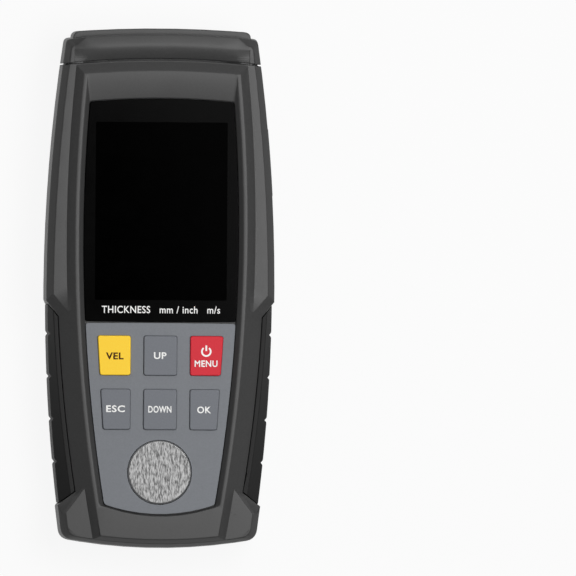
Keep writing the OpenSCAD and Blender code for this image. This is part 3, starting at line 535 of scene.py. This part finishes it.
@dataclass
class Housing:
    """The two halves of the case, the end cap and the battery cover, all of the same moulding."""

    # radii of the outer edges
    edge: float = 0.3
    cap_edge: float = 0.35
    back_edge: float = 0.4
    cover_edge: float = 0.25
    # levels past which the edges of the front half, the rear half and the battery cover are rounded
    front_from: float = 17.0
    back_to: float = 16.8
    cover_to: float = 0.1
    # the seats under the window and the keypad and the bores of the screws stay sharp
    seat_z: float = 31.2
    seat_half: float = 29.0
    seat_y: float = -84.0
    bores: tuple[tuple[float, float], ...] = (
        (29.0, 68.0),
        (25.0, -79.0),
        (0.0, -42.0),
        (0.0, 29.4),
    )
    bore_reach: float = 4.0
    # the brow above the window
    brow_y: float = 60.0
    brow_z: float = 33.65
    brow_near: float = 0.03
    brow_shift: float = 0.6
    brow_lift: float = 0.05
    cap: CapFace = field(default_factory=CapFace)

    def build(self) -> None:
        """Builds the four mouldings and dresses them."""
        rows = (
            ("front_housing", self.edge, self.on_front, self.level_brow),
            ("rear_housing", self.back_edge, self.on_back, None),
            ("top_cap", self.cap_edge, self.cap.rounded, self.cap.moved),
            ("battery_cover", self.cover_edge, self.on_cover, None),
        )
        for node, radius, test, move in rows:
            obj = EdgedCopy(node, f"{node}_moulded", radius, test=test, move=move).build()
            dress(obj, HOUSING_ABS)
            register(obj, GAUGE, "housing", node)

    def on_front(self, a: Vector, b: Vector) -> bool:
        """Tells whether an edge is above the parting plane and not under the window or the keypad.

        Args:
            a: One end of the edge, in metres.
            b: Its other end.

        Returns:
            True for an edge to be rounded.
        """
        under = (
            max(a.z, b.z) < self.seat_z * MM
            and max(abs(a.x), abs(b.x)) < self.seat_half * MM
            and min(a.y, b.y) > self.seat_y * MM
        )
        return min(a.z, b.z) > self.front_from * MM and not under

    def on_back(self, a: Vector, b: Vector) -> bool:
        """Tells whether an edge is below the parting plane and not the rim of a screw's bore.

        Args:
            a: One end of the edge, in metres.
            b: Its other end.

        Returns:
            True for an edge to be rounded.
        """
        at_bore = any(
            math.hypot(abs(a.x) / MM - x, a.y / MM - y) < self.bore_reach
            and math.hypot(abs(b.x) / MM - x, b.y / MM - y) < self.bore_reach
            for x, y in self.bores
        )
        return max(a.z, b.z) < self.back_to * MM and not at_bore

    def on_cover(self, a: Vector, b: Vector) -> bool:
        """Says whether an edge lies in the battery cover's outer face and not at its screws."""
        return max(a.z, b.z) < self.cover_to * MM and self.on_back(a, b)

    def level_brow(self, p: Vector) -> Vector:
        """Moves a point of the brow nearer to the window and to the rim's level.

        Args:
            p: A point of the front half, in mm.

        Returns:
            Its new place.
        """
        if p.y > self.brow_y and abs(p.z - self.brow_z) < self.brow_near:
            return Vector((p.x, p.y - self.brow_shift, p.z + self.brow_lift))
        return p.copy()


@dataclass
class Grips:
    """The two rubber grips along the sides."""

    edge: float = 0.3

    def build(self) -> None:
        """Builds both grips and dresses them."""
        for node in ("left_grip", "right_grip"):
            obj = EdgedCopy(node, f"{node}_moulded", self.edge, least=10, whole=True).build()
            dress(obj, GRIP_RUBBER)
            register(obj, GAUGE, "grip", node)


@dataclass
class Legend:
    """One printed word, fitted to a measured width and cap height, in mm."""

    words: str
    name: str
    middle: tuple[float, float]
    width: float
    height: float
    top: float
    finish: Finish
    bold: float = 0.032
    ink: float = 0.03

    def build(self) -> bpy.types.Object:
        """Sets the word, makes it a mesh and lays it on the surface.

        Returns:
            The finished lettering.
        """
        bpy.ops.object.select_all(action="DESELECT")
        bpy.ops.object.text_add()
        obj = bpy.context.view_layer.objects.active
        obj.data.body = self.words
        obj.data.bevel_depth = self.bold
        obj.data.bevel_resolution = 0
        obj.data.resolution_u = 4
        obj.data.space_character = 1.08
        bpy.ops.object.convert(target="MESH")
        obj = bpy.context.view_layer.objects.active
        name_mesh(obj, self.name)
        xs = [v.co.x for v in obj.data.vertices]
        ys = [v.co.y for v in obj.data.vertices]
        across = self.width * MM / (max(xs) - min(xs))
        up = self.height * MM / (max(ys) - min(ys))
        obj.scale = (across, up, self.ink * MM / self.bold)
        obj.location = (
            self.middle[0] * MM - across * (max(xs) + min(xs)) / 2,
            self.middle[1] * MM - up * (max(ys) + min(ys)) / 2,
            self.top * MM,
        )
        settle(obj)
        edit(obj, "FACE")
        bpy.ops.mesh.select_all(action="SELECT")
        bpy.ops.mesh.remove_doubles(threshold=MERGE * MM)
        bpy.ops.mesh.normals_make_consistent(inside=False)
        done()
        dress(obj, self.finish)
        return obj


@dataclass
class Display:
    """The black window with its darker picture area and the printed line below it."""

    lens_z: float = 32.4
    picture: tuple[float, float] = (45.2, 61.0)
    picture_y: float = 26.4
    corner: float = 0.5
    # the picture area's sheet starts below the window's face and ends just above it
    sunk: float = 0.1
    sheet: float = 0.115
    edge: float = 0.2

    def build(self) -> None:
        """Builds the window, the picture area and the legend."""
        lens = EdgedCopy(
            "display_window", "window_lens", self.edge, least=40, test=self.on_top, whole=True
        ).build()
        dress(lens, LENS_ACRYLIC)
        register(lens, GAUGE, "lens", "display_window")
        register(self.picture_area(), GAUGE, "lcd")
        line = Legend(
            "THICKNESS   mm / inch   m/s",
            "window_legend",
            middle=(0.1, -7.35),
            width=40.6,
            height=2.5,
            top=self.lens_z,
            finish=INK_WHITE,
            bold=0.012,
        )
        register(line.build(), GAUGE, "lens")

    def on_top(self, a: Vector, b: Vector) -> bool:
        """Says whether an edge lies in the window's upper face."""
        return min(a.z, b.z) > (self.lens_z - LEVEL) * MM

    def picture_area(self) -> bpy.types.Object:
        """Models the picture area as a thin sheet with rounded corners in the window's face.

        Returns:
            The finished sheet.
        """
        bpy.ops.object.select_all(action="DESELECT")
        place = (0, self.picture_y * MM, (self.lens_z - self.sunk) * MM)
        bpy.ops.mesh.primitive_plane_add(size=1, location=place)
        obj = bpy.context.view_layer.objects.active
        obj.scale = (self.picture[0] * MM, self.picture[1] * MM, 1)
        settle(obj)
        name_mesh(obj, "window_picture_area")
        edit(obj, "VERT")
        bpy.ops.mesh.select_all(action="SELECT")
        bpy.ops.mesh.bevel(offset=self.corner * MM, segments=4, affect="VERTICES")
        bpy.ops.mesh.select_all(action="SELECT")
        up = (0, 0, self.sheet * MM)
        bpy.ops.mesh.extrude_region_move(TRANSFORM_OT_translate={"value": up})
        bpy.ops.mesh.select_all(action="SELECT")
        bpy.ops.mesh.normals_make_consistent(inside=False)
        done()
        dress(obj, DISPLAY_GLASS)
        return obj


@dataclass
class Key:
    """One key: which CAD node it is, its finish and its printed word."""

    node: str
    slot: str
    finish: Finish
    words: str
    middle: tuple[float, float]
    width: float
    height: float = 2.4
    ink: Finish = INK_WHITE


@dataclass
class Keypad:
    """The grey panel and its six keys with their printed words."""

    key_z: float = 33.6
    panel_z: float = 32.6
    key_edge: float = 0.4
    panel_edge: float = 0.12
    key_grow: float = 0.09
    swell_from: float = 30.0
    sign_middle: tuple[float, float] = (15.7, -21.6)
    sign_r: float = 1.5
    sign_stroke: float = 0.58
    sign_bar: float = 1.9
    sign_rise: float = 1.15
    sign_gap: float = 38.0
    sign_sunk: float = 0.02
    sign_ink: float = 0.05
    keys: tuple[Key, ...] = (
        Key("key_vel", "key_yellow", KEY_YELLOW, "VEL", (-15.7, -23.3), 6.1, ink=INK_BROWN),
        Key("key_up", "key_grey", KEY_GREY, "UP", (-0.1, -23.1), 4.4),
        Key("key_menu", "key_red", KEY_RED, "MENU", (15.65, -25.75), 7.9, 2.3),
        Key("key_esc", "key_grey", KEY_GREY, "ESC", (-15.3, -41.4), 6.5),
        Key("key_down", "key_grey", KEY_GREY, "DOWN", (-0.1, -41.5), 8.0),
        Key("key_ok", "key_grey", KEY_GREY, "OK", (15.1, -41.6), 4.85),
    )

    def build(self) -> None:
        """Builds the panel, the keys, their words and the power sign."""
        panel = EdgedCopy(
            "keypad_panel", "panel_painted", self.panel_edge, least=40, test=self.on_panel
        ).build()
        dress(panel, PANEL_PAINT)
        register(panel, GAUGE, "panel", "keypad_panel")
        for key in self.keys:
            cap = EdgedCopy(
                key.node,
                f"{key.node}_cap",
                self.key_edge,
                least=40,
                segments=3,
                test=self.on_key,
                move=self.swell(key.node),
                whole=True,
            ).build()
            dress(cap, key.finish)
            register(cap, key.node, key.slot, key.node)
            word = Legend(
                key.words,
                f"{key.node}_word",
                key.middle,
                key.width,
                key.height,
                self.key_z,
                key.ink,
            )
            register(word.build(), key.node, key.slot)
        register(self.power_sign(), "key_menu", "key_red")

    def swell(self, node: str) -> Move:
        """Makes the move that narrows the gap round a key by letting its upper part grow.

        Args:
            node: The key's CAD node.

        Returns:
            A function that gives a point's new place, in mm.
        """
        points = [v.co for v in frame["nodes"][node].data.vertices]
        shown = [p / MM for p in points if p.z > self.swell_from * MM]
        low = Vector((min(p.x for p in shown), min(p.y for p in shown), 0.0))
        high = Vector((max(p.x for p in shown), max(p.y for p in shown), 0.0))
        middle, size = (low + high) / 2, high - low

        def moved(p: Vector) -> Vector:
            """Moves one point."""
            if p.z < self.swell_from:
                return p.copy()
            x = middle.x + (p.x - middle.x) * (1 + 2 * self.key_grow / size.x)
            y = middle.y + (p.y - middle.y) * (1 + 2 * self.key_grow / size.y)
            return Vector((x, y, p.z))

        return moved

    def on_key(self, a: Vector, b: Vector) -> bool:
        """Says whether an edge lies in a key's upper face."""
        return min(a.z, b.z) > (self.key_z - LEVEL) * MM

    def on_panel(self, a: Vector, b: Vector) -> bool:
        """Says whether an edge lies in the panel's upper face."""
        return min(a.z, b.z) > (self.panel_z - LEVEL) * MM

    def power_sign(self) -> bpy.types.Object:
        """Models the open ring and the bar of the power sign.

        Returns:
            The finished sign.
        """
        x, y = self.sign_middle
        z = (self.key_z - self.sign_sunk) * MM
        bpy.ops.object.select_all(action="DESELECT")
        bpy.ops.mesh.primitive_plane_add(size=1)
        ring = bpy.context.view_layer.objects.active
        name_mesh(ring, "key_menu_sign")
        edit(ring, "VERT")
        done()
        for v in ring.data.vertices:
            v.select = v.co.y > 0
        bpy.ops.object.mode_set(mode="EDIT")
        bpy.ops.mesh.delete(type="VERT")
        bpy.ops.mesh.select_all(action="SELECT")
        bpy.ops.transform.resize(value=(self.sign_stroke * MM, 1, 1))
        done()
        gap = math.radians(self.sign_gap)
        for v in ring.data.vertices:
            r = self.sign_r * MM + v.co.x
            v.co = (x * MM + r * math.sin(gap), y * MM + r * math.cos(gap), z)
        edit(ring, "EDGE")
        bpy.ops.mesh.select_all(action="SELECT")
        bpy.ops.mesh.spin(
            steps=40,
            angle=2 * (math.pi - gap),
            center=(x * MM, y * MM, z),
            axis=(0, 0, 1),
        )
        bpy.ops.mesh.select_all(action="DESELECT")
        bpy.ops.mesh.primitive_plane_add(size=1, location=(x * MM, (y + self.sign_rise) * MM, z))
        bpy.ops.transform.resize(
            value=(self.sign_stroke * MM, self.sign_bar * MM, 1),
            center_override=(x * MM, (y + self.sign_rise) * MM, z),
        )
        bpy.ops.mesh.select_mode(type="FACE")
        bpy.ops.mesh.select_all(action="SELECT")
        up = (0, 0, self.sign_ink * MM)
        bpy.ops.mesh.extrude_region_move(TRANSFORM_OT_translate={"value": up})
        bpy.ops.mesh.select_all(action="SELECT")
        bpy.ops.mesh.remove_doubles(threshold=MERGE * MM)
        bpy.ops.mesh.normals_make_consistent(inside=False)
        done()
        dress(ring, INK_WHITE)
        return ring


@dataclass
class TestBlock:
    """The round steel block that the probe is tried on."""

    edge: float = 0.14
    # a face that points upwards by a share between these belongs to the rim
    rim_from: float = 0.1
    rim_to: float = 0.97

    def build(self) -> None:
        """Builds the block and dresses it."""
        obj = EdgedCopy(
            "test_block", "test_block_ground", self.edge, least=20, segments=3, whole=True
        ).build()
        dress(obj, TEST_STEEL)
        obj.data.materials.append(RIM_STEEL.material())
        for poly in obj.data.polygons:
            poly.material_index = int(self.rim_from < poly.normal.z < self.rim_to)
        register(obj, GAUGE, "test_steel", "test_block")


@dataclass
class Fittings:
    """Sockets, screws and covers that get a small edge radius."""

    edge: float = 0.1
    rows: tuple[tuple[str, str, str, Finish], ...] = (
        ("socket_left", GAUGE, "socket", SOCKET_NICKEL),
        ("socket_right", GAUGE, "socket", SOCKET_NICKEL),
        ("housing_screws", GAUGE, "screw", SCREW_ZINC),
        ("battery_cover_screws", GAUGE, "screw", SCREW_ZINC),
        ("usb_cover", "usb_cover", "port_rubber", PORT_RUBBER),
    )

    def build(self) -> None:
        """Builds each fitting and dresses it."""
        for node, body, slot, finish in self.rows:
            obj = EdgedCopy(node, f"{node}_edged", self.edge, least=30).build()
            dress(obj, finish)
            register(obj, body, slot, node)


@dataclass
class Insides:
    """CAD nodes that keep their own mesh and only get a finish."""

    rows: tuple[tuple[str, Finish], ...] = (
        ("housing_seal", SEAL_RUBBER),
        ("window_tape", SEAL_RUBBER),
        ("lcd_module", LCD_FRAME),
        ("keypad_mat", MAT_SILICONE),
        ("main_board", BOARD_MASK),
        ("board_screws", SCREW_ZINC),
        ("socket_insulators", INSULATOR_PTFE),
        ("socket_contacts", CONTACT_GOLD),
        ("socket_nuts", SOCKET_NICKEL),
        ("usb_socket", SCREW_ZINC),
        ("battery_pack", BATTERY_FILM),
        ("battery_connector", CONNECTOR_NYLON),
    )

    def build(self) -> None:
        """Dresses each node."""
        for node, finish in self.rows:
            dress(frame["nodes"][node], finish)
            log.info("%s: %s", node, finish.name)


@dataclass
class Studio:
    """Floor, lamps, world and camera."""

    view_mm: float = 197.36
    middle: tuple[float, float] = (44.19, 0.39)
    level: float = 20.0
    distance: float = 0.6
    lean: float = -2.6
    roll: float = 0.4
    key_power: float = 3.9
    key_size: tuple[float, float] = (0.36, 0.26)
    key_place: Point = (0.16, 0.06, 0.68)
    back_power: float = 0.35
    back_size: tuple[float, float] = (0.4, 0.12)
    back_place: Point = (0.0, 0.55, 0.3)
    world: float = 0.13
    floor_z: float = -0.1
    # how much of the floor's look is its own even white, the rest being lit paper
    floor_glow: float = 0.92

    def build(self) -> None:
        """Sets up everything that is not part of the gauge."""
        self.floor()
        self.lamps()
        self.camera()
        bpy.context.scene.view_settings.view_transform = "Standard"

    def floor(self) -> None:
        """Lays a white floor that keeps a soft shadow."""
        bpy.ops.object.select_all(action="DESELECT")
        bpy.ops.mesh.primitive_plane_add(size=30, location=(0, 0, self.floor_z * MM))
        obj = bpy.context.view_layer.objects.active
        settle(obj)
        name_mesh(obj, "studio_floor")
        mat = bpy.data.materials.new("white_backdrop_paper")
        mat.use_nodes = True
        tree = mat.node_tree
        tree.nodes.clear()
        ray = add_node(tree, "ShaderNodeLightPath").outputs
        seen = ray["Is Camera Ray"]
        for kind in ("Is Glossy Ray", "Is Transmission Ray"):
            seen = add_node(
                tree, "ShaderNodeMath", {}, {0: seen, 1: ray[kind]}, operation="MAXIMUM"
            ).outputs[0]
        share = add_node(
            tree, "ShaderNodeMath", {1: self.floor_glow}, {0: seen}, operation="MULTIPLY"
        ).outputs[0]
        paper = add_node(tree, "ShaderNodeBsdfDiffuse", {"Color": linear("#dcdcdc")}).outputs[0]
        glow = add_node(
            tree, "ShaderNodeEmission", {"Color": linear("#fefefe"), "Strength": 1.0}
        ).outputs[0]
        mixed = add_node(tree, "ShaderNodeMixShader", {}, {0: share, 1: paper, 2: glow}).outputs[0]
        add_node(tree, "ShaderNodeOutputMaterial", {}, {"Surface": mixed})
        obj.data.materials.append(mat)

    def lamps(self) -> None:
        """Adds the soft key lamp, a weak lamp behind the socket end and the even world."""
        for name, place, size, power in (
            ("soft_key", self.key_place, self.key_size, self.key_power),
            ("soft_back", self.back_place, self.back_size, self.back_power),
        ):
            bpy.ops.object.light_add(type="AREA", location=place)
            lamp = bpy.context.view_layer.objects.active
            lamp.name = name
            lamp.data.shape = "RECTANGLE"
            lamp.data.size, lamp.data.size_y = size
            lamp.data.energy = power
            lamp.rotation_mode = "QUATERNION"
            lamp.rotation_quaternion = (-Vector(place)).to_track_quat("-Z", "Y")
        world = bpy.data.worlds.new("studio")
        world.use_nodes = True
        back = world.node_tree.nodes["Background"]
        back.inputs["Color"].default_value = (1.0, 1.0, 1.0, 1.0)
        back.inputs["Strength"].default_value = self.world
        bpy.context.scene.world = world

    def camera(self) -> None:
        """Places the camera above the gauge, looking down from a little to the left."""
        turn = Euler((0, math.radians(self.lean), math.radians(self.roll)), "ZYX")
        aim = Vector((self.middle[0] * MM, self.middle[1] * MM, self.level * MM))
        back = turn.to_matrix() @ Vector((0, 0, self.distance))
        bpy.ops.object.camera_add(location=aim + back, rotation=(0, 0, 0))
        cam = bpy.context.view_layer.objects.active
        cam.name = "photo_camera"
        cam.rotation_mode = "QUATERNION"
        cam.rotation_quaternion = turn.to_quaternion()
        cam.data.type = "ORTHO"
        cam.data.ortho_scale = self.view_mm * MM
        cam.data.dof.use_dof = False
        bpy.context.scene.camera = cam


def main() -> None:
    """Builds every sub-assembly in order and then the studio."""
    for part in (Housing(), Grips(), Display(), Keypad(), TestBlock(), Fittings(), Insides()):
        part.build()
    Studio().build()


if __name__ == "__main__":
    main()
